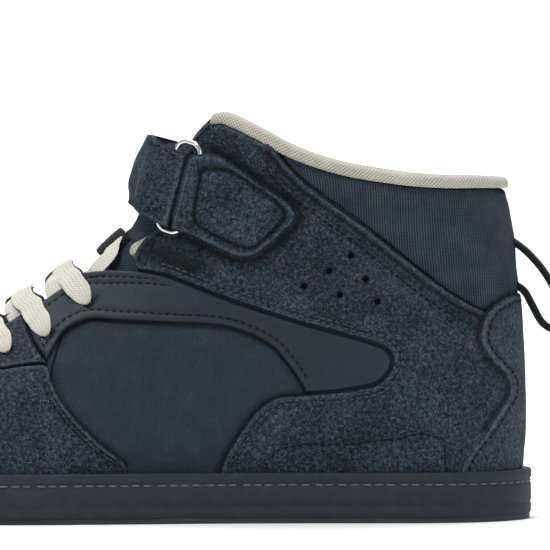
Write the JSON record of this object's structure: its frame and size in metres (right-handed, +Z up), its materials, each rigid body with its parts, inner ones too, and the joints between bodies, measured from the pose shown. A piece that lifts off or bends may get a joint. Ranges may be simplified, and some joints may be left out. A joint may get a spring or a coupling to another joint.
{
  "type": "boxing boot",
  "caption": "Lace-up ankle-high boxing boot, left foot, with a suede and knit upper, an ankle strap closed through a metal ring and a heel pull loop.",
  "frame": {"origin": "on the ground under the middle of the sole, on the boot's lengthwise centre line", "axes": "+X towards the heel, -Y the outer (lateral) side of this left boot, +Z up from the ground"},
  "size_m": [0.3087, 0.1067, 0.1559],
  "materials": {
    "rubber_sole": "matt moulded rubber",
    "eva_foam": "matt foam",
    "board": "stitched fibre board",
    "sock_fabric": "brushed textile",
    "stiffener": "matt heat formed sheet",
    "cream_lining": "fine open mesh",
    "foam": "open cell foam",
    "dark_textile": "fine vertical knit",
    "collar_knit": "fine rib knit",
    "suede": "brushed suede",
    "smooth_leather": "smooth synthetic leather",
    "tongue_knit": "diagonal rib knit",
    "black_webbing": "woven webbing",
    "lace": "flat woven lace",
    "clear_plastic": "gloss plastic sleeve",
    "silver_metal": "polished metal",
    "hook_loop": "hook and loop pile"
  },
  "bodies": {
    "root": {"outsole": "rubber_sole", "midsole": "eva_foam", "strobel_board": "board", "sockliner": "sock_fabric", "lining": "cream_lining", "toe_puff": "stiffener", "heel_counter": "stiffener", "collar_foam": "foam", "vamp": "dark_textile", "vamp_overlay": "suede", "lateral_quarter": "dark_textile", "medial_quarter": "dark_textile", "collar_knit": "collar_knit", "toe_overlay": "suede", "heel_cap": "suede", "lateral_eyestay": "smooth_leather", "medial_eyestay": "smooth_leather", "lateral_ankle_panel": "suede", "medial_ankle_panel": "suede", "collar_binding": "cream_lining", "tongue": "tongue_knit", "tongue_padding": "foam", "tongue_lining": "cream_lining", "lace_keeper": "black_webbing", "lace_under_crossings": "lace", "lace_over_crossings": "lace", "lace_ends": "lace", "front_strap": "suede", "strap_anchor_patch": "suede", "loop_patch": "hook_loop", "pull_loop_base": "black_webbing"},
    "ring": {"strap_ring": "silver_metal", "strap_tab_fold": "suede"},
    "tab": {"strap_tab": "suede", "hook_patch": "hook_loop"},
    "loop": {"pull_loop": "black_webbing"}
  },
  "joints": [
    {"name": "ring_swing", "type": "hinge", "parent": "root", "child": "ring", "pos_m": [0.00805, -0.02955, 0.12901], "axis": [-0.2509, 0.0966, -0.9632], "range_deg": [0, 45]},
    {"name": "tab_peel", "type": "hinge", "parent": "ring", "child": "tab", "pos_m": [0.01695, -0.03456, 0.12618], "axis": [-0.2509, 0.0966, -0.9632], "range_deg": [0, 100]},
    {"name": "pull_loop_lift", "type": "hinge", "parent": "root", "child": "loop", "pos_m": [0.1405, 0, 0.098], "axis": [0, -1, 0], "range_deg": [0, 60]}
  ]
}
